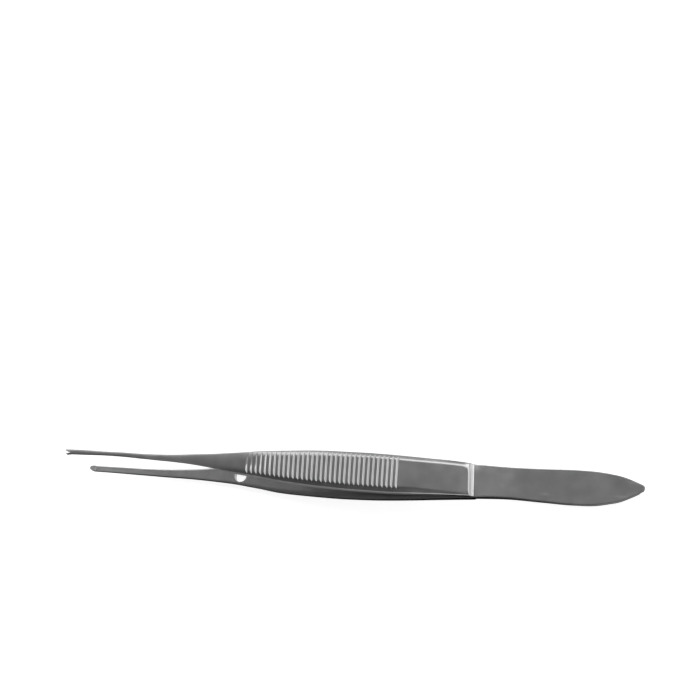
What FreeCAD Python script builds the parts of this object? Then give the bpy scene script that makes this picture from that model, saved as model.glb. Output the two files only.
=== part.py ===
import FreeCAD, Part
import math
import os

from FreeCAD import Vector

# Thumb forceps for fine tissue, all of stainless steel, lying on its lower arm.
# Two sprung arms are welded along a leaf-shaped heel. Each has a stepped thumb grip with
# cross serrations and a narrow blade: the upper one ends in two teeth, the lower one in a
# single tooth. A guide pin in the upper arm enters a hole in the lower one as they close.
#
# Every size is in mm. A station is a distance from the point of the heel towards the teeth.
# The arms are built in a frame of their own, with X along the stations, Y across the arms
# and Z the way they open, and are turned and laid on the floor at the end.

# Lengths
heel_length = 30.2          # the point of the heel to the foot of the step
grip_length = 40.6          # the foot of the step to where the arm narrows into its blade
blade_length = 31.2         # the end of the grip to the teeth
overall_length = heel_length + grip_length + blade_length

# Leaf of the heel, in plan: a rounded point, the widest place and a slight waist
point_length = 0.4          # how far the rounding of the point reaches
point_width = 1.2
point_offset = 0.38         # the point sits to one side of the middle line
leaf_shoulder = 4.2         # station where the leaf is about two thirds of its width
leaf_shoulder_width = 4.4
leaf_station = 12.4
leaf_width = 5.7
leaf_bulge = 0.3            # how much further the leaf reaches on the side away from its point
waist_station = 24.0
waist_width = 5.25

# Places along the grip and the blade, from the foot of the step or from the end of the grip
grip_swell = 8.0
grip_middle = 18.5
grip_front = 26.0
grip_shoulder = 33.8
blade_steps = (4.2, 8.2, 12.2, 17.2)
neck_distance = 7.0         # the slenderest place, back from the teeth

# How far the long edges stand from the middle line at the step, at those places and at the
# teeth. The near edge is on the side where the leaf bulges; the arms are ground by hand, so
# their edges are not quite alike.
upper_near = (2.78, 3.05, 3.36, 3.24, 2.74, 1.97, 1.34, 0.88, 0.64, 0.50, 0.31, 0.40)
upper_far = (2.80, 3.12, 3.24, 3.01, 2.38, 1.60, 1.11, 0.73, 0.40, 0.24, 0.25, 0.36)
lower_near = (2.76, 3.14, 3.55, 3.47, 3.03, 2.17, 1.60, 1.24, 0.97, 0.80, 0.60, 0.52)
lower_far = (2.78, 2.99, 3.25, 3.08, 2.42, 1.76, 1.44, 1.07, 0.70, 0.48, 0.43, 0.41)

# Thickness of one arm
point_thickness = 0.42      # at the point of the heel
leaf_thickness = 0.46       # at the end of the flat part of the leaf
leaf_flat = 14.0            # station where the flat part of the leaf ends
leaf_bend_radius = 180.0    # easy bend between the flat leaf and the root of the heel
root_thickness = 1.05       # at the foot of the step
step_run = 0.7              # length of the ramp that climbs onto the grip
grip_thickness = 1.65
grip_end_thickness = 1.43   # where the arm narrows into its blade
blade_thickness = 1.15      # in the blade, this far from the end of the grip:
blade_middle = 10.2
tip_thickness = 0.65

# Side view of the inner face: welded, bent away, straight, then bowed back, more at the tips
weld_length = 27.0
root_bend = 4.0             # length of the bend where the arms part
spread_angle = 6.4          # degrees from the middle plane, along the grip
bow_start = 62.0
bow_length = 22.0
bow_angle = 4.8             # degrees that are left at the end of the easy bow
tip_angle = -3.4            # degrees at the teeth, where the blades lean towards each other

# Bevels along the outer edges
near_bevel_width = 1.05     # at the widest place of the grip
far_bevel_width = 0.75
bevel_slope = 0.45          # drop for each mm of width

# Cross serrations on the grip
groove_count = 33
groove_pitch = 0.816
groove_ramp = 0.3           # flank of each groove that faces the heel, along the arm
groove_wall = 0.12          # its steeper flank, which faces the teeth
groove_depth = 0.17
groove_start = 12.9         # from the foot of the step to the first groove

# Flat ground under the lower arm where it touches the floor, so that it lies still
bearing_flat = 0.03

# Guide pin and its hole
pin_distance = 27.6         # back from the teeth
pin_diameter = 1.7
pin_clearance = 0.25        # all round, between the pin and the hole
pin_reach = 1.3             # beyond the inner face of the upper arm
pin_seat = 0.8              # depth of its seat in the upper arm
pin_chamfer = 0.25

# Teeth
tooth_height = 0.45         # how far they stand in from the inner face
tooth_length = 0.8          # slope behind the teeth
tooth_flat = 0.12           # blunt end of each tooth, along the arm
notch_width = 0.4           # mouth of the V between the two teeth
notch_depth = 0.85
single_tooth_width = 0.22
single_tooth_taper = 0.9    # length of the chamfers that narrow the lower arm to its tooth
single_tooth_shoulder = 1.0     # width between the chamfers where they begin
teeth_offset = 0.13         # the teeth and the pin sit that far from the middle, on the near side
platform_length = 14.5      # tying platform of the inner face, back from the teeth
platform_rise = 0.06
platform_ramp = 0.25

# Shapes that cut or trim reach past the arms on all sides, and overshoot what they end
reach = 20.0
overshoot = 1.0

grip_end = heel_length + grip_length


def run_of(length, start_angle, end_angle):
    """Rise of a tangent arc, or a line, that covers a length along X between two angles."""
    if start_angle == end_angle:
        return length * math.tan(math.radians(start_angle))
    a, b = math.radians(start_angle), math.radians(end_angle)
    return length * (math.cos(a) - math.cos(b)) / (math.sin(b) - math.sin(a))


# The inner face as runs along X: where each starts, its length and its angles.
inner_runs = (
    (0.0, weld_length, 0.0, 0.0),
    (weld_length, root_bend, 0.0, spread_angle),
    (weld_length + root_bend, bow_start - weld_length - root_bend, spread_angle, spread_angle),
    (bow_start, bow_length, spread_angle, bow_angle),
    (bow_start + bow_length, overall_length - bow_start - bow_length, bow_angle, tip_angle),
)


def inner_height(station):
    """Height of the inner face above the middle plane, without teeth or platform."""
    height = 0.0
    for start, length, a, b in inner_runs:
        if station <= start + length or start == inner_runs[-1][0]:
            part = station - start
            sine = math.sin(math.radians(a)) + (
                math.sin(math.radians(b)) - math.sin(math.radians(a))
            ) * part / length
            return height + run_of(part, a, math.degrees(math.asin(sine)))
        height += run_of(length, a, b)
    return height


def spline(points):
    """Smooth curve through a few points."""
    curve = Part.BSplineCurve()
    curve.interpolate(points)
    return curve


def value_at(curve, station):
    """The point of a curve that runs along X, at a station."""
    low, high = curve.FirstParameter, curve.LastParameter
    halvings = 50
    for _ in range(halvings):
        middle = (low + high) / 2
        if curve.value(middle).x < station:
            low = middle
        else:
            high = middle
    return curve.value(low)


def outline(near, far):
    """Stations of one arm from the foot of the step to the teeth, with its near and far edges."""
    steps = (0.0, grip_swell, grip_middle, grip_front, grip_shoulder)
    stations = [heel_length + step for step in steps]
    stations += [grip_end] + [grip_end + step for step in blade_steps]
    stations += [overall_length - neck_distance, overall_length]
    return list(zip(stations, near, far))


def side_points(rows, side):
    """One long edge in plan, side being +1 or -1; the point of the heel leans to -1."""
    bulge = leaf_bulge if side > 0 else 0.0
    heel = [
        (point_length, point_width / 2 - side * point_offset),
        (leaf_shoulder, leaf_shoulder_width / 2),
        (leaf_station, leaf_width / 2 + bulge),
        (waist_station, waist_width / 2),
    ]
    edge = [(station, near if side > 0 else far) for station, near, far in rows]
    return [Vector(x, side * y, 0) for x, y in heel + edge]


def plan_prism(rows):
    """The outline of one arm seen from above, as a tall block."""
    near, far = side_points(rows, 1), side_points(rows, -1)
    nose = Part.Arc(near[0], Vector(0, -point_offset, 0), far[0])
    edges = [
        nose.toShape(),
        spline(near).toShape(),
        spline(far).toShape(),
        Part.makeLine(near[-1], far[-1]),
    ]
    face = Part.Face(Part.Wire(Part.__sortEdges__(edges)))
    face.translate(Vector(0, 0, -reach))
    return face.extrude(Vector(0, 0, 2 * reach))


def bent(start, end, drop):
    """Arc of the inner face between two of its points, sunk by a drop."""
    middle = (start.x + end.x) / 2
    return Part.Arc(start, Vector(middle, start.y, inner_height(middle) + drop), end).toShape()


def inner_prism():
    """Everything on the arm's own side of its inner face, teeth and platform included."""
    edges, height, point = [], 0.0, Vector(0, -reach, 0)
    platform = overall_length - platform_length
    for start, length, a, b in inner_runs[:-1]:
        height += run_of(length, a, b)
        following = Vector(start + length, -reach, height)
        edges.append(Part.makeLine(point, following) if a == b else bent(point, following, 0.0))
        point = following
    low = -platform_rise
    corners = [
        (max(platform, point.x), 0.0),
        (max(platform, point.x) + platform_ramp, low),
        (overall_length - tooth_flat - tooth_length, low),
        (overall_length - tooth_flat, low - tooth_height),
        (overall_length + overshoot, low - tooth_height),
    ]
    for x, drop in corners:
        following = Vector(x, -reach, inner_height(x) + drop)
        if following.x - point.x > 2 * overshoot:
            edges.append(bent(point, following, drop))
            point = following
        elif following.x > point.x:
            edges.append(Part.makeLine(point, following))
            point = following
    above = [Vector(point.x, -reach, reach), Vector(0, -reach, reach), Vector(0, -reach, 0)]
    for following in above:
        edges.append(Part.makeLine(point, following))
        point = following
    return Part.Face(Part.Wire(edges)).extrude(Vector(0, 2 * reach, 0))


def thickness_rows():
    """Stations and thicknesses of the grip and the blade."""
    return [
        (heel_length, grip_thickness),
        (heel_length + grip_middle, grip_thickness),
        (heel_length + grip_front, grip_thickness),
        (grip_end, grip_end_thickness),
        (grip_end + blade_middle, blade_thickness),
        (overall_length, tip_thickness),
    ]


outer_curve = spline([Vector(x, 0, inner_height(x) + t) for x, t in thickness_rows()])


def outer_height(station):
    """Height of the top of the grip and the blade above the middle plane."""
    return value_at(outer_curve, station).z


def ground_away(rows):
    """What is outside the outer face of the grip and the blade, and outside their two bevels."""
    sections = []
    widest = max(near + far for _, near, far in rows)
    half = widest
    for station, near, far in rows + [(overall_length + overshoot,) + rows[-1][1:]]:
        top = outer_height(min(station, overall_length))
        share = (near + far) / widest
        right, left = near - near_bevel_width * share, far - far_bevel_width * share
        corners = [(-half, -reach), (half, -reach), (half, top - bevel_slope * (half - right)),
                   (right, top), (-left, top), (-half, top - bevel_slope * (half - left)),
                   (-half, -reach)]
        sections.append(Part.makePolygon([Vector(station, y, z) for y, z in corners]))
    kept = Part.makeLoft(sections, True, False)
    length = overall_length + overshoot - heel_length
    block = Part.makeBox(length, 2 * half, 2 * reach, Vector(heel_length, -half, -reach))
    return block.cut(kept)


def heel_relief():
    """What is ground away over the leaf, down to its thickness and up the ramp of the step."""
    start = Vector(0, -reach, point_thickness)
    bend = Vector(leaf_flat, -reach, leaf_thickness)
    root = Vector(heel_length, -reach, root_thickness)
    first, second = (bend - start).normalize(), (root - bend).normalize()
    turn = first.getAngle(second)
    tangent = leaf_bend_radius * math.tan(turn / 2)
    before, after = bend - first * tangent, bend + second * tangent
    normal = Vector(-first.z, 0, first.x)
    centre = before + normal * leaf_bend_radius
    halfway = (before + after) * 0.5 - centre
    middle = centre + halfway.normalize() * leaf_bend_radius
    top_station = heel_length + step_run
    top = Vector(top_station, -reach, outer_height(top_station))
    ramp = (top - root).normalize()
    peak = top + ramp * step_run
    lead = start - first * point_length * 2
    corners = [peak, Vector(peak.x, -reach, reach), Vector(lead.x, -reach, reach), lead]
    edges = [
        Part.makeLine(lead, before),
        Part.Arc(before, middle, after).toShape(),
        Part.makeLine(after, root),
        Part.makeLine(root, peak),
    ]
    edges += [Part.makeLine(a, b) for a, b in zip(corners, corners[1:])]
    return Part.Face(Part.Wire(edges)).extrude(Vector(0, 2 * reach, 0))


def grooves():
    """Lopsided V serrations across the grip, each as deep as the others."""
    cutters = []
    for index in range(groove_count):
        station = heel_length + groove_start + index * groove_pitch
        top = outer_height(station)
        width = groove_ramp + groove_wall
        slope = (outer_height(station + groove_ramp) - outer_height(station - groove_wall)) / width
        growth = (groove_depth + overshoot) / groove_depth
        ramp, wall = groove_ramp * growth, groove_wall * growth
        corners = [
            Vector(station, -reach, top - groove_depth),
            Vector(station + ramp, -reach, top + overshoot + slope * ramp),
            Vector(station - wall, -reach, top + overshoot - slope * wall),
        ]
        face = Part.Face(Part.makePolygon(corners + corners[:1]))
        cutters.append(face.extrude(Vector(0, 2 * reach, 0)))
    return Part.makeCompound(cutters)


def arm(rows):
    """One arm without its own tip: outline, inner face, bevels, heel, step and serrations."""
    body = plan_prism(rows).common(inner_prism()).cut(ground_away(rows))
    return body.cut(heel_relief()).cut(grooves())


def pin_seat_height():
    """Height of the inner face of an arm where the pin stands."""
    return inner_height(overall_length - pin_distance)


def upright_cylinder(radius, bottom, top):
    """Cylinder across the gap at the station of the pin."""
    base = Vector(overall_length - pin_distance, teeth_offset, bottom)
    return Part.makeCylinder(radius, top - bottom, base, Vector(0, 0, 1))


def upper_arm():
    """The arm with two teeth, and a blind seat for the guide pin."""
    body = arm(outline(upper_near, upper_far))
    corners = [
        Vector(overall_length - notch_depth, teeth_offset, -reach),
        Vector(overall_length + notch_depth, teeth_offset - notch_width, -reach),
        Vector(overall_length + notch_depth, teeth_offset + notch_width, -reach),
    ]
    notch = Part.Face(Part.makePolygon(corners + corners[:1])).extrude(Vector(0, 0, 2 * reach))
    seat = upright_cylinder(pin_diameter / 2, 0, pin_seat_height() + pin_seat)
    return body.cut(notch).cut(seat)


def lower_arm():
    """The arm with one tooth and the hole for the guide pin, on the other side of the gap."""
    body = arm(outline(lower_near, lower_far))
    cutters = []
    for side in (-1, 1):
        corners = [
            Vector(overall_length - single_tooth_taper, side * single_tooth_shoulder / 2, -reach),
            Vector(overall_length, side * single_tooth_width / 2, -reach),
            Vector(overall_length + overshoot, side * single_tooth_width / 2, -reach),
            Vector(overall_length + overshoot, side * single_tooth_shoulder, -reach),
            Vector(overall_length - single_tooth_taper, side * single_tooth_shoulder, -reach),
        ]
        face = Part.Face(Part.makePolygon(corners + corners[:1]))
        face.translate(Vector(0, teeth_offset, 0))
        cutters.append(face.extrude(Vector(0, 0, 2 * reach)))
    hole = upright_cylinder(pin_diameter / 2 + pin_clearance, 0, reach)
    body = body.cut(Part.makeCompound(cutters)).cut(hole)
    return body.mirror(Vector(0, 0, 0), Vector(0, 0, 1))


def guide_pin():
    """Round pin, pressed into the seat of the upper arm, with a chamfered end."""
    face_height = pin_seat_height()
    pin = upright_cylinder(pin_diameter / 2, face_height - pin_reach, face_height + pin_seat)
    end = [e for e in pin.Edges if abs(e.CenterOfMass.z - pin.BoundBox.ZMin) < 1e-6]
    return pin.makeChamfer(pin_chamfer, end[:1])


def resting_angle():
    """Tilt, in degrees, at which the lower arm lies on its grip and the point of its heel."""
    first, last = heel_length + step_run, overall_length
    samples = 400
    stations = [first + (last - first) * i / samples for i in range(samples + 1)]
    slopes = [(outer_height(s) - point_thickness) / s for s in stations]
    return math.degrees(math.atan(max(slopes)))


def laid_down(shapes):
    """Turns the heel to +X, tilts everything onto the floor, grinds the lower arm flat where it
    touches, and centres the whole box on the origin."""
    tilt = resting_angle()
    for shape in shapes.values():
        shape.rotate(Vector(0, 0, 0), Vector(0, 0, 1), 180)
        shape.rotate(Vector(0, 0, 0), Vector(0, 1, 0), tilt)
    ground = shapes["lower_arm"].optimalBoundingBox().ZMin + bearing_flat
    below = Part.makeBox(4 * overall_length, 2 * reach, reach,
                         Vector(-2 * overall_length, -reach, ground - reach))
    shapes["lower_arm"] = shapes["lower_arm"].cut(below).Solids[0]
    box = Part.makeCompound(list(shapes.values())).optimalBoundingBox()
    for shape in shapes.values():
        shape.translate(Vector(-box.Center.x, -box.Center.y, -box.ZMin))
    return shapes


made = {"upper_arm": upper_arm(), "lower_arm": lower_arm(), "guide_pin": guide_pin()}
pieces = laid_down({name: shape.Solids[0] for name, shape in made.items()})
os.makedirs("parts", exist_ok=True)
for name, shape in pieces.items():
    shape.exportStep("parts/" + name + ".step")
    box = shape.optimalBoundingBox()
    print(name, shape.ShapeType, len(shape.Solids), "solid, valid", shape.isValid(),
          "volume", round(shape.Volume, 3), "box", round(box.XLength, 2), round(box.YLength, 2),
          round(box.ZLength, 2))
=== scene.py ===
import math

import bpy
import numpy as np
from mathutils import Matrix, Vector


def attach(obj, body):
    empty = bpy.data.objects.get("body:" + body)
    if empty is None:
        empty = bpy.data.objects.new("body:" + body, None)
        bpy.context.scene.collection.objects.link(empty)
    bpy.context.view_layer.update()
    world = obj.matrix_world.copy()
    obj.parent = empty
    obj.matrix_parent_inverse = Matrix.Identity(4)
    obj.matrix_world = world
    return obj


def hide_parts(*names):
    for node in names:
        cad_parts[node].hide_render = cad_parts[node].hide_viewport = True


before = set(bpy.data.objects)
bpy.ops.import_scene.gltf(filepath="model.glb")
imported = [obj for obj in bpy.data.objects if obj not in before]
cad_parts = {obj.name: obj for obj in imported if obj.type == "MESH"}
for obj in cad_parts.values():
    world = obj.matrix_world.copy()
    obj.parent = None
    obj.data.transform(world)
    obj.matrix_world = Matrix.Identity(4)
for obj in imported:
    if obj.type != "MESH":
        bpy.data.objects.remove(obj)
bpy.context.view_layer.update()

# The two arms
# Each is one piece of stainless steel, forged, ground flat inside and bevelled along its outer
# edges, with a stepped grip that is cross-cut with serrations and a narrow blade. They mirror
# each other up to their tips, and are welded together along their leaf-shaped heels.

MM = 0.001
LENGTH = 102.0
HEEL = 30.2                 # point of the heel to the foot of the step
LYING_TILT = math.asin(0.0795236)
HEEL_POINT = (51.0893, 0.1545, 0.3887)

FACE_TURNS = (0, 27, 31, 62, 84, LENGTH)
FACE_ANGLES = (0, 0, 6.4, 6.4, 4.8, -3.4)

GRIP_STATIONS = (30.2, 48.7, 56.2, 70.8, 81, 102)
GRIP_THICKNESS = (1.65, 1.65, 1.65, 1.43, 1.14, 0.63)
STEP_SLOPE = 2.1

GROOVES = 33
GROOVE_PITCH = 0.816
GROOVE_START = 43.1
GROOVE_RAMP = 0.3
GROOVE_WALL = 0.12
GROOVE_DEPTH = 0.17

BLADE_OFFSET = 0.13         # the pin and the teeth sit that far to the near side
PIN_STATION = 74.4
HOLE_RADIUS = 1.1

# Each long edge as pairs of a station and how far the edge stands from the middle line there
HEEL_FAR = ((0.4, 0.98), (0.8, 1.13), (1.4, 1.36), (2.4, 1.71), (4.2, 2.2), (6, 2.48), (8, 2.70),
            (12.4, 2.83), (18, 2.68), (24, 2.60), (30.2, 2.80))
HEEL_NEAR = ((0.4, 0.22), (0.8, 0.58), (1.4, 0.92), (2.4, 1.41), (4.2, 2.18), (6, 2.6), (8, 2.967),
             (12.4, 3.142), (18, 2.919), (24, 2.651), (30.2, 2.78))
UPPER_FAR = HEEL_FAR + (
    (32.5, 2.96), (38.2, 3.12), (45, 3.245), (48.7, 3.235), (52, 3.15), (56.2, 3.01), (63, 2.49), (68, 1.97),
    (70.8, 1.59), (73, 1.32), (75, 1.09), (79, 0.715), (83, 0.38), (85.5, 0.27), (88, 0.22),
    (91.5, 0.26), (95, 0.26), (98.5, 0.34), (102, 0.36))
UPPER_NEAR = HEEL_NEAR + (
    (38.2, 3.05), (45, 3.33), (48.7, 3.36), (56.2, 3.25), (63, 2.84), (68, 2.3), (70.8, 2.04),
    (73, 1.77), (75, 1.38), (79, 0.895), (83, 0.67), (85.5, 0.6), (88, 0.5), (91.5, 0.36),
    (95, 0.31), (98.5, 0.37), (102, 0.4))
LOWER_FAR = HEEL_FAR + (
    (38.2, 2.99), (48.7, 3.243), (56.2, 3.08), (63, 2.53), (68, 2.0), (70.8, 1.76), (75, 1.46),
    (79, 1.08), (83, 0.69), (85.5, 0.57), (88, 0.45), (91.5, 0.39), (95, 0.42), (102, 0.41))
LOWER_NEAR = HEEL_NEAR + (
    (38.2, 3.14), (41, 3.29), (45, 3.46), (48.7, 3.55), (52, 3.55), (56.2, 3.47), (60, 3.28),
    (63, 3.1), (66, 2.88), (68, 2.66), (70.8, 2.18), (73, 1.86), (75, 1.57), (79, 1.225),
    (83, 0.97), (85.5, 0.86), (88, 0.8), (91.5, 0.68), (95, 0.6), (98.5, 0.53), (102, 0.52))


def through(stations, knots, values):
    """Smooth curve through a few values: between two of them a cubic, whose slope at each one is
    that of the parabola through it and its neighbours."""
    knots, values = np.array(knots, float), np.array(values, float)
    slopes = np.gradient(values, knots)
    i = np.clip(np.searchsorted(knots, stations) - 1, 0, len(knots) - 2)
    gap = knots[i + 1] - knots[i]
    t = np.clip((stations - knots[i]) / gap, 0, 1)
    return (values[i] * (1 - 3 * t**2 + 2 * t**3) + values[i + 1] * (3 * t**2 - 2 * t**3)
            + gap * slopes[i] * (t - 2 * t**2 + t**3) + gap * slopes[i + 1] * (t**3 - t**2))


def lower_of(a, b, size):
    """The lower of two heights; where they differ by less than size, the crease between them is
    rounded off by (size - difference) squared over four times size."""
    overlap = np.maximum(size - np.abs(a - b), 0)
    return np.minimum(a, b) - overlap**2 / (4 * size)


def higher_of(a, b, size):
    """The higher of two heights, with a fillet in the crease between them."""
    return -lower_of(-a, -b, size)


def face_slope(stations):
    """Slope of the inner face: the sine of its angle grows evenly along each bend."""
    sine = np.interp(stations, FACE_TURNS, np.sin(np.radians(FACE_ANGLES)))
    return sine / np.sqrt(1 - sine**2)


def face_height(stations):
    """Height of the inner face above the middle plane: its slope, added up along the arm."""
    fine = np.linspace(0, LENGTH, 8001)
    slope = face_slope(fine)
    rise = np.concatenate([[0], np.cumsum((slope[1:] + slope[:-1]) / 2 * np.diff(fine))])
    return np.interp(stations, fine, rise)


def toothed_face(stations):
    """The inner face with the tying platform, a low step 14.5 mm long, and the tooth's slope."""
    platform = np.interp(stations, (87.5, 87.75), (0, 0.06))
    tooth = np.interp(stations, (101.08, 101.88), (0, 0.45))
    return face_height(stations) - platform - tooth


def edge(stations, points, side):
    """How far a long edge stands from the middle line: a quarter ellipse round the point of the
    heel, which leans to one side, and then a smooth curve through measured places."""
    nose = side + 0.6 * np.sqrt(np.clip(1 - (1 - stations / 0.4)**2, 0, 1))
    return np.where(stations < 0.4, nose, through(stations, *zip(*points)))


def outer_height(s, y, far, near):
    """Height of the outer side at a station and a place across: the lowest of the crowned grip,
    the ramp of the step and the two bevels, but nowhere lower than the leaf, and cut by lopsided V
    grooves that run out on the bevels. Every crease is rounded."""
    leaf = higher_of(0.42 + 0.00286 * s, 0.46 + 0.03642 * (s - 14), 0.1)
    half = (far + near) / 2
    across = (y - (far - near) / 2) / half
    crown = through(s, (30, 45, 60, 70, 80, 102), (0.02, 0.03, 0.04, 0.06, 0.04, 0.02))
    top = face_height(s) + through(s, GRIP_STATIONS, GRIP_THICKNESS) - crown * across**2
    ramp = 1.05 + STEP_SLOPE * (s - HEEL - 0.14)
    share = half / 3.25
    far_width = share * through(s, (30, 36, 60, 69, 80, 102), (0.7, 0.73, 0.75, 0.75, 0.9, 0.9))
    near_width = share * through(s, (30, 36, 41, 50, 102), (0.2, 0.6, 0.95, 1.05, 1.05))
    far_slope = through(s, (30, 50, 58, 64, 67, 70, 74, 102), (0.45, 0.44, 0.385, 0.36, 0.26, 0.08, 0.0, 0.0))
    near_slope = through(s, (30, 62, 70, 76, 102), (0.45, 0.45, 0.36, 0.12, 0.1))
    far_bevel = top - far_slope * (y - far + far_width)
    near_bevel = top - near_slope * (near_width - near - y)
    softness = (through(s, (30, 50, 58, 66, 76, 102), (0.12, 0.12, 0.16, 0.16, 0.06, 0.04))
                + 0.2 * np.exp(-((s - 30.9) / 0.6)**2))
    body = lower_of(top, lower_of(lower_of(ramp, far_bevel, 0.6), near_bevel, 0.08), softness)
    index = np.clip(np.round((s - GROOVE_START) / GROOVE_PITCH), 0, GROOVES - 1)
    away = s - GROOVE_START - index * GROOVE_PITCH
    shallow = np.clip((s - 64) / 4, 0, 1) * np.clip((y + 1.3) / 1.1, 0, 1)
    depth = GROOVE_DEPTH * (1 - 0.6 * shallow)
    groove = top - depth + depth * higher_of(away / GROOVE_RAMP, -away / GROOVE_WALL, 0.3)
    body = lower_of(body, groove, 0.04)
    return higher_of(leaf, body, 0.6)


# Soft brighter and darker spots, the narrow one across the foot of the step a painted highlight: station,
# place across, half length, half width and how much brighter
SOFT_SPOTS_AND_STEP_HIGHLIGHT = (
    (30.35, 0.0, 0.2, 5.0, 0.3), (29.7, 2.5, 0.45, 0.8, 0.7), (29.4, 2.3, 0.8, 0.7, 0.3),
    (27.4, 1.9, 1.2, 0.7, 0.15), (25.0, -0.6, 0.5, 0.35, 0.12), (23.8, 1.2, 1.0, 0.4, 0.06),
    (17.2, -1.6, 0.9, 0.25, 0.3), (9.0, 0.3, 0.5, 0.5, 0.1), (3.7, -1.3, 1.6, 0.2, 0.2),
    (1.9, 1.2, 1.2, 0.2, 0.2), (18.9, 0.65, 1.6, 0.9, -0.08), (11.9, -1.2, 1.5, 0.9, -0.08),
    (4.6, 1.0, 1.3, 0.8, -0.08))

# Painted light and shade along the arm, as stations and brightness, chosen so that the steel looks as it does
# in the photograph: leaf, step, panel, serrations and blade, lighter by the step and darker on the
# serrations; then painted shade on the inner side from the gap between the grips to the open blade and its
# dark end
OUTER_PAINTED_LIGHT_AND_SHADE = ((0, 0.97), (20, 0.97), (29, 1.12), (34, 1.0), (42, 0.95), (48, 0.85), (62, 0.82), (70, 0.74),
                (80, 1.05), (102, 1.0))
INNER_PAINTED_SHADE = ((0, 0.3), (41, 0.55), (68, 0.55), (80, 0.85), (101, 1.0), (101.1, 0.32), (LENGTH, 0.32))
# Painted shade on the side walls of each arm, as stations and brightness, and the darkest that any painted
# shade goes
UPPER_WALL_PAINTED_SHADE = ((0, 9, 16, 28, 34, 102), (0.4, 0.3, 0.1, 0.05, 0.18, 0.18))
LOWER_WALL_PAINTED_SHADE = ((0, 9, 16, 57, 63, 70, 76, 102), (0.4, 0.3, 0.1, 0.07, 0.14, 0.2, 0.15, 0.2))
DARKEST_PAINTED_SHADE = 0.06
UNFINISHED = 0.01           # a painted brightness below this marks faces that a cut has just made


def surface_tone_and_painted_light(s, y, across, turn, lift, wall_painted_shade):
    """How bright the steel's colour is made there, where 1 is the ground outer side: painted shade on the
    side walls and inside, deepest in the gap, on the rim of the leaf and on the bevels, painted highlights by
    the step and inside near the tip, and soft brighter and darker spots."""
    # painted light and shade along the outer side, with soft brighter and darker spots and a painted
    # highlight across the foot of the step
    outer = through(s, *zip(*OUTER_PAINTED_LIGHT_AND_SHADE))
    for station, place, length, width, gain in SOFT_SPOTS_AND_STEP_HIGHLIGHT:
        outer = outer + gain * np.exp(-((s - station) / length)**2 - ((y - place) / width)**2)
    # painted shade on the rim of the leaf, on the near bevel of the grip and on the far bevel by the step
    leaf_rim_shade = np.clip((np.abs(across) - 0.95) / 0.05, 0, 1) * np.clip(29 - s, 0, 1)
    near_bevel = (np.clip((-across - 0.7) / 0.08, 0, 1) * np.clip((s - 40) / 4, 0, 1)
                  * np.clip((72 - s) / 12, 0, 1))
    far_bevel = (np.clip((across - 0.8) / 0.08, 0, 1) * np.clip((36.5 - s) / 3, 0, 1)
                 * np.clip((s - 31.2) / 0.5, 0, 1))
    outer = outer * (1 - 0.4 * leaf_rim_shade) * (1 - 0.45 * near_bevel) * (1 - 0.3 * far_bevel)
    # painted shade on the inner side, deepest in the gap, with painted highlights on it near the tip
    inner = np.interp(s, *zip(*INNER_PAINTED_SHADE))
    inner = inner * (1 + 0.45 * np.exp(-((s - 98) / 3.5)**2 - ((y + 0.2) / 0.35)**2)
                     + 0.08 * np.exp(-((s - 91) / 5)**2))
    # painted shade on the side walls
    wall = np.where((lift > 0) & (lift < 1), 1.0, np.sin(turn)**2)
    painted_light_and_tone = (1 - wall) * np.where(lift > 0, outer, inner) + wall * through(s, *wall_painted_shade)
    return np.maximum(painted_light_and_tone, DARKEST_PAINTED_SHADE)


def ring_layout():
    """Places round one cross section: how far across, the turn round the edge in degrees, and the
    share of the way from the inner to the outer side."""
    half = [0, 0.12, 0.24, 0.36, 0.48, 0.56, 0.61, 0.65, 0.68, 0.70, 0.72, 0.74, 0.76, 0.78, 0.80,
            0.82, 0.85, 0.88, 0.92, 0.96]
    outer = [(-1, 90, 1), (-1, 67, 1), (-1, 45, 1), (-1, 22, 1), (-1, 0, 1)]
    outer += [(-q, 0, 1) for q in half[:0:-1]] + [(q, 0, 1) for q in half]
    outer += [(1, 0, 1), (1, 22, 1), (1, 45, 1), (1, 67, 1), (1, 90, 1)]
    inner = [(1, 90, 0), (1, 45, 0), (1, 0, 0)]
    inner += [(q, 0, 0) for q in (0.75, 0.5, 0.25, 0, -0.25, -0.5, -0.75)]
    inner += [(-1, 0, 0), (-1, 45, 0), (-1, 90, 0)]
    return np.array(outer + [(1, 90, 0.5)] + inner + [(-1, 90, 0.5)]).T


GROOVE_RINGS = np.array([-0.26, -0.19, -0.15, -0.125, -0.1, -0.06, -0.02, 0.01, 0.04, 0.1, 0.16, 0.22, 0.27,
                         0.31, 0.36, 0.45])


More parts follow.
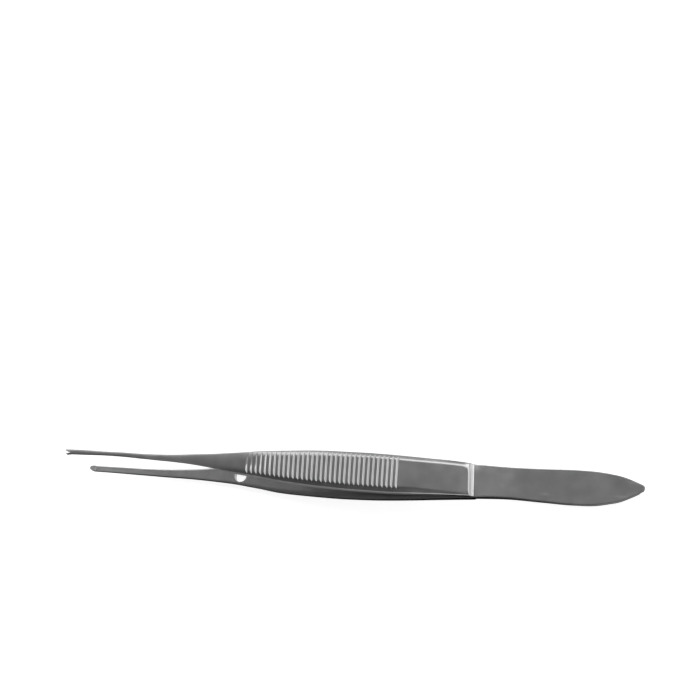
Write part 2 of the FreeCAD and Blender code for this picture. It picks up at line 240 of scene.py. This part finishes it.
def arm_rings(far_edge, near_edge, tip_taper, wall_painted_shade):
    """Cross sections of the upper arm, still along its own stations: a grid of station by place
    round the section, sheared a little along the arm where the step and the serrations are."""
    s = np.concatenate([
        0.4 * (1 - np.cos(np.linspace(0.2, math.pi / 2, 9))), np.linspace(0.5, 29.5, 60),
        np.linspace(29.6, 32.0, 49), np.linspace(32.2, 42.6, 27),
        (GROOVE_START + GROOVE_PITCH * np.arange(GROOVES)[:, None] + GROOVE_RINGS).ravel(),
        np.linspace(69.8, 87.4, 60),
        np.linspace(87.5, 87.75, 5), np.linspace(88, 101, 40), np.linspace(101.08, 101.88, 9),
        [101.94, 101.98, LENGTH]])[:, None]
    across, turn, lift = ring_layout()
    far, near = edge(s, far_edge, 0.38), edge(s, near_edge, -0.38)
    if tip_taper:
        narrowing = 0.25 + 0.75 * np.sqrt(1 - np.clip((s - 101.2) / 0.8, 0, 1)**2)
        far = narrowing * (far + BLADE_OFFSET) - BLADE_OFFSET
        near = narrowing * (near - BLADE_OFFSET) + BLADE_OFFSET
    round_outer = np.minimum(0.12, (far + near) * 0.12)
    round_inner = np.minimum(0.05, (far + near) * 0.06)
    radius = np.where(lift > 0, round_outer, round_inner)
    turn = np.radians(turn)
    middle, half = (far - near) / 2, (far + near) / 2
    y = middle + across * (half - radius) + np.sign(across) * radius * np.sin(turn)
    drop = radius * (1 - np.cos(turn))
    z = lift * (outer_height(s, y, far, near) - drop) + (1 - lift) * (toothed_face(s) + drop)
    skew = np.interp(s, (0, 22, 30, 32, 43, 69, 74, LENGTH), (0, 0, 0.1, 0.1, 0.058, 0.058, 0, 0))
    rings = np.stack([-(s + skew * y), y, z + face_slope(s) * skew * y], axis=-1)
    # with each point's painted light and shade
    return rings, surface_tone_and_painted_light(s, y, across, turn, lift, wall_painted_shade)


def laid_down(points):
    """Tilts points about the point of the heel until the lower arm lies on the floor, and turns
    them from millimetres into metres."""
    x, y, z = np.moveaxis(points, -1, 0)
    c, s = math.cos(LYING_TILT), math.sin(LYING_TILT)
    laid = np.stack([x * c + z * s, y, z * c - x * s], axis=-1) + HEEL_POINT
    laid[..., 2] = np.maximum(laid[..., 2], 0)
    return laid * MM


def skinned(name, rings, painted_light_and_tone=None, flip=False):
    """Closed mesh over a stack of rings: quads between neighbours, and a flat face at each end."""
    count, around = rings.shape[:2]
    i = np.arange(count - 1)[:, None] * around
    j = np.arange(around)[None, :]
    k = (j + 1) % around
    quads = np.stack([i + j, i + k, i + k + around, i + j + around], axis=-1).reshape(-1, 4)
    faces = quads.tolist() + [list(range(around))[::-1], list(range((count - 1) * around, count * around))]
    if flip:
        faces = [face[::-1] for face in faces]
    mesh = bpy.data.meshes.new(name)
    mesh.from_pydata(laid_down(rings).reshape(-1, 3), [], faces)
    mesh.validate()
    # each point's painted light and shade, by which the steel's colour is scaled
    if painted_light_and_tone is not None:
        mesh.attributes.new("painted_light_and_tone", "FLOAT", "POINT").data.foreach_set("value", painted_light_and_tone.ravel())
    piece = bpy.data.objects.new(name, mesh)
    bpy.context.collection.objects.link(piece)
    return piece


def cut(piece, cutter, painted_light_and_tone):
    """Takes the cutter's shape out of a piece, gives the cut faces their value of painted light and shade and
    drops the cutter."""
    change = piece.modifiers.new("cut", "BOOLEAN")
    change.operation, change.solver, change.object = "DIFFERENCE", "EXACT", cutter
    seen = piece.evaluated_get(bpy.context.evaluated_depsgraph_get())
    mesh = bpy.data.meshes.new_from_object(seen)
    piece.modifiers.clear()
    piece.data = mesh
    mesh.name = piece.name
    values = np.zeros(len(mesh.vertices), dtype=np.float32)
    mesh.attributes["painted_light_and_tone"].data.foreach_get("value", values)
    mesh.attributes["painted_light_and_tone"].data.foreach_set("value", np.where(values < UNFINISHED, painted_light_and_tone, values))
    bpy.data.objects.remove(cutter)


def finish_surface(piece, material, sharp_degrees=50):
    """Shades a piece smoothly up to its sharp edges and gives it its material."""
    piece.data.materials.clear()
    piece.data.materials.append(material)
    piece.data.shade_smooth()
    piece.data.set_sharp_from_angle(angle=math.radians(sharp_degrees))


def turned(profile, station):
    """Rings of a turned shape about an upright axis at a station: each pair is a radius and a
    height."""
    angles = np.linspace(0, 2 * math.pi, 64, endpoint=False)
    radius, height = np.array(profile).T[:, :, None]
    return np.stack([-station + radius * np.cos(angles), radius * np.sin(angles) - BLADE_OFFSET,
                     height + 0 * angles], axis=-1)


def linear(colour):
    """An sRGB hex colour as the linear red, green and blue that shaders use."""
    parts = [int(colour[i:i + 2], 16) / 255 for i in (1, 3, 5)]
    return [c / 12.92 if c <= 0.04045 else ((c + 0.055) / 1.055)**2.4 for c in parts] + [1.0]


def add(tree, kind, settings=(), links=()):
    """Adds a node: settings are (input or property, value), links are (input, node, output)."""
    node = tree.nodes.new(kind)
    for name, value in settings:
        if isinstance(name, int) or name in node.inputs:
            node.inputs[name].default_value = value
        else:
            setattr(node, name, value)
    for name, source, output in links:
        tree.links.new(node.inputs[name], source.outputs[output])
    return node


def satin_steel():
    """Stainless steel, ground and then satin finished by fine abrasive: a soft sheen with faint
    lengthwise grain, and cloudy patches about a millimetre wide where it was wiped and handled."""
    material = bpy.data.materials.new("satin_ground_stainless_steel")
    material.use_nodes = True
    tree = material.node_tree
    tree.nodes.clear()
    place = add(tree, "ShaderNodeTexCoord")
    clouds = add(tree, "ShaderNodeTexNoise", [("Scale", 420.0), ("Detail", 3.0), ("Roughness", 0.5)],
                 [("Vector", place, "Object")])
    stretch = add(tree, "ShaderNodeMapping", [("Scale", (0.12, 1.0, 1.0))], [("Vector", place, "Object")])
    grain = add(tree, "ShaderNodeTexNoise", [("Scale", 9000.0), ("Detail", 2.0)],
                [("Vector", stretch, "Vector")])
    rough = add(tree, "ShaderNodeMapRange", [("From Min", 0.3), ("From Max", 0.7), ("To Min", 0.28),
                ("To Max", 0.31)], [("Value", clouds, "Fac")])
    tint = add(tree, "ShaderNodeValToRGB", links=[("Fac", clouds, "Fac")])
    tint.color_ramp.elements[0].position, tint.color_ramp.elements[0].color = 0.3, linear("#aeaeaf")
    tint.color_ramp.elements[1].position, tint.color_ramp.elements[1].color = 0.7, linear("#b8b8b8")
    # the colour and the edge tint are scaled by each point's painted light and shade
    painted_light_and_tone = add(tree, "ShaderNodeAttribute", [("attribute_name", "painted_light_and_tone")])
    colour = add(tree, "ShaderNodeVectorMath", [("operation", "SCALE")],
                 [("Vector", tint, "Color"), ("Scale", painted_light_and_tone, "Fac")])
    bump = add(tree, "ShaderNodeBump", [("Strength", 0.05), ("Distance", 0.00001)],
               [("Height", grain, "Fac")])
    edge = add(tree, "ShaderNodeMath", [("operation", "MINIMUM"), (1, 1.0)], [(0, painted_light_and_tone, "Fac")])
    steel = add(tree, "ShaderNodeBsdfPrincipled", [("Metallic", 1.0)],
                [("Base Color", colour, "Vector"), ("Specular Tint", edge, 0), ("Roughness", rough, "Result"),
                 ("Normal", bump, "Normal")])
    add(tree, "ShaderNodeOutputMaterial", links=[("Surface", steel, "BSDF")])
    return material


steel = satin_steel()

upper_arm = skinned("upper_arm_forging", *arm_rings(UPPER_FAR, UPPER_NEAR, False, UPPER_WALL_PAINTED_SHADE))
notch = np.array([[(-100.95, 0), (-103, -0.55), (-103, 0.55)]]) - (0, BLADE_OFFSET)
notch = np.concatenate([np.concatenate([notch, np.full((1, 3, 1), z)], axis=2) for z in (3.0, 9.0)])
cut(upper_arm, skinned("notch", notch, flip=True), 0.6)
finish_surface(upper_arm, steel)
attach(upper_arm, "root")
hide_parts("upper_arm")

lower_rings, lower_painted_light = arm_rings(LOWER_FAR, LOWER_NEAR, True, LOWER_WALL_PAINTED_SHADE)
lower_arm = skinned("lower_arm_forging", lower_rings * (1, 1, -1), lower_painted_light, flip=True)
inside = -float(face_height(PIN_STATION))
hole = [(1.3, inside + 0.15), (1.15, inside), (HOLE_RADIUS, inside - 0.05), (HOLE_RADIUS, inside - 1.2),
        (1.45, inside - 1.9)]
cut(lower_arm, skinned("hole", turned(hole, PIN_STATION), flip=True), 0.9)
finish_surface(lower_arm, steel, 40)
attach(lower_arm, "root")
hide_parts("lower_arm")

# The guide pin
# A short pin of turned stainless steel, pressed into the inner face of the upper arm. Its end is
# chamfered, so that it finds the hole of the lower arm as the two are squeezed together.


def turned_steel():
    """Turned stainless steel: brighter than the arms, with fine rings round it."""
    material = bpy.data.materials.new("turned_stainless_steel")
    material.use_nodes = True
    tree = material.node_tree
    tree.nodes.clear()
    place = add(tree, "ShaderNodeTexCoord")
    flat = add(tree, "ShaderNodeMapping", [("Scale", (0.05, 0.05, 1.0))], [("Vector", place, "Object")])
    rings = add(tree, "ShaderNodeTexNoise", [("Scale", 12000.0), ("Detail", 1.0)],
                [("Vector", flat, "Vector")])
    rough = add(tree, "ShaderNodeMapRange", [("To Min", 0.18), ("To Max", 0.3)], [("Value", rings, "Fac")])
    steel = add(tree, "ShaderNodeBsdfPrincipled", [("Metallic", 1.0), ("Base Color", linear("#c6c6c7"))],
                [("Roughness", rough, "Result")])
    add(tree, "ShaderNodeOutputMaterial", links=[("Surface", steel, "BSDF")])
    return material


root = float(face_height(PIN_STATION))
pin_profile = [(0.2, root - 1.3), (0.6, root - 1.3), (0.64, root - 1.27), (0.82, root - 1.09),
               (0.85, root - 1.05), (0.85, root + 0.5), (0.2, root + 0.5)]
guide_pin = skinned("turned_guide_pin", turned(pin_profile, PIN_STATION))
finish_surface(guide_pin, turned_steel(), 40)
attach(guide_pin, "root")
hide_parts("guide_pin")

# The floor, the light and the camera
# A plain white table under three large soft lamps, one beyond the heel, one behind the forceps and
# one in front of it, seen from above with a long lens.

TABLE_GLOW = 0.72
white = bpy.data.materials.new("matt_white_table")
white.use_nodes = True
tree = white.node_tree
tree.nodes.clear()
table = add(tree, "ShaderNodeBsdfDiffuse", [("Color", linear("#d0d0d0"))])
rays = add(tree, "ShaderNodeLightPath")
seen = add(tree, "ShaderNodeMath", [("operation", "MAXIMUM")])
tree.links.new(seen.inputs[0], rays.outputs["Is Camera Ray"])
tree.links.new(seen.inputs[1], rays.outputs["Is Glossy Ray"])
seen_through = add(tree, "ShaderNodeMath", [("operation", "MAXIMUM")])
tree.links.new(seen_through.inputs[0], seen.outputs[0])
tree.links.new(seen_through.inputs[1], rays.outputs["Is Transmission Ray"])
share = add(tree, "ShaderNodeMath", [("operation", "MULTIPLY")], [(0, seen_through, 0)])
share.inputs[1].default_value = TABLE_GLOW
glow = add(tree, "ShaderNodeEmission", links=[("Strength", share, 0)])
both = add(tree, "ShaderNodeAddShader", links=[(0, table, 0), (1, glow, 0)])
add(tree, "ShaderNodeOutputMaterial", links=[("Surface", both, 0)])
floor_mesh = bpy.data.meshes.new("table_top")
floor_mesh.from_pydata([(-3, -3, 0), (3, -3, 0), (3, 3, 0), (-3, 3, 0)], [], [(0, 1, 2, 3)])
floor_mesh.materials.append(white)
floor = bpy.data.objects.new("table_top", floor_mesh)
bpy.context.collection.objects.link(floor)

world = bpy.data.worlds.new("studio")
bpy.context.scene.world = world
world.use_nodes = True
tree = world.node_tree
tree.nodes.clear()
direction = add(tree, "ShaderNodeTexCoord")
parts = add(tree, "ShaderNodeSeparateXYZ", links=[("Vector", direction, "Generated")])
near_dark = add(tree, "ShaderNodeMapRange", [("interpolation_type", "SMOOTHSTEP"), ("From Min", -0.7),
                ("From Max", 0.1), ("To Min", 0.09), ("To Max", 0.198)], [("Value", parts, "Y")])
far_side = add(tree, "ShaderNodeMapRange", [("interpolation_type", "SMOOTHSTEP"), ("From Min", 0.6),
               ("From Max", 0.9), ("To Min", 0.0), ("To Max", 0.3)], [("Value", parts, "Y")])
heel_side = add(tree, "ShaderNodeMapRange", [("interpolation_type", "SMOOTHSTEP"), ("From Min", 0.45),
                ("From Max", 0.85), ("To Min", 0.0), ("To Max", 0.88)], [("Value", parts, "X")])
tip_side = add(tree, "ShaderNodeMapRange", [("interpolation_type", "SMOOTHSTEP"), ("From Min", -0.9),
               ("From Max", -0.5), ("To Min", 0.3), ("To Max", 0.0)], [("Value", parts, "X")])
both_ends = add(tree, "ShaderNodeMath", [("operation", "ADD")], [(0, tip_side, 0), (1, heel_side, 0)])
sides = add(tree, "ShaderNodeMath", [("operation", "ADD")], [(0, far_side, 0), (1, both_ends, 0)])
room = add(tree, "ShaderNodeMath", [("operation", "ADD")], [(0, near_dark, 0), (1, sides, 0)])
sky = add(tree, "ShaderNodeBackground", links=[("Color", room, 0)])
add(tree, "ShaderNodeOutputWorld", links=[("Surface", sky, "Background")])


def softbox(name, direction, distance, width, height, power):
    """Rectangular lamp that looks at the object from a direction."""
    data = bpy.data.lights.new(name, "AREA")
    data.shape, data.size, data.size_y, data.energy = "RECTANGLE", width, height, power
    lamp = bpy.data.objects.new(name, data)
    towards = Vector(direction).normalized()
    lamp.location = towards * distance
    lamp.rotation_euler = towards.to_track_quat("Z", "Y").to_euler()
    lamp.visible_camera = False
    bpy.context.collection.objects.link(lamp)


softbox("lamp_beyond_heel", (0.52, 0.12, 0.84), 1.2, 1.0, 0.45, 3.2)
softbox("lamp_behind", (-0.1, 0.62, 0.79), 1.2, 1.6, 0.5, 5.2)
softbox("lamp_in_front", (0.2, -0.87, 0.45), 1.2, 1.2, 0.5, 4.0)

azimuth, elevation, roll = (math.radians(a) for a in (64.85, 62.36, -60.15))
ahead = Vector((-math.sin(azimuth) * math.cos(elevation), math.cos(azimuth) * math.cos(elevation),
                -math.sin(elevation)))
level = ahead.cross(Vector((0, 0, 1))).normalized()
upright = level.cross(ahead)
right = level * math.cos(roll) + upright * math.sin(roll)
up = upright * math.cos(roll) - level * math.sin(roll)
pixels_per_mm = 5.917
aim = Vector((0.02, 0.155, 5.97)) - right * (5.0 / pixels_per_mm) + up * (123.2 / pixels_per_mm)
distance = 3000.0
lens = bpy.data.cameras.new("long_lens")
lens.sensor_width = 36.0
lens.lens = pixels_per_mm * distance * lens.sensor_width / 700
lens.clip_start, lens.clip_end = 0.1, 20.0
camera = bpy.data.objects.new("long_lens", lens)
camera.matrix_world = Matrix.Translation((aim - ahead * distance) * MM) @ Matrix(
    (right, up, -ahead)).transposed().to_4x4()
bpy.context.collection.objects.link(camera)
bpy.context.scene.camera = camera
bpy.context.scene.view_settings.view_transform = "Standard"
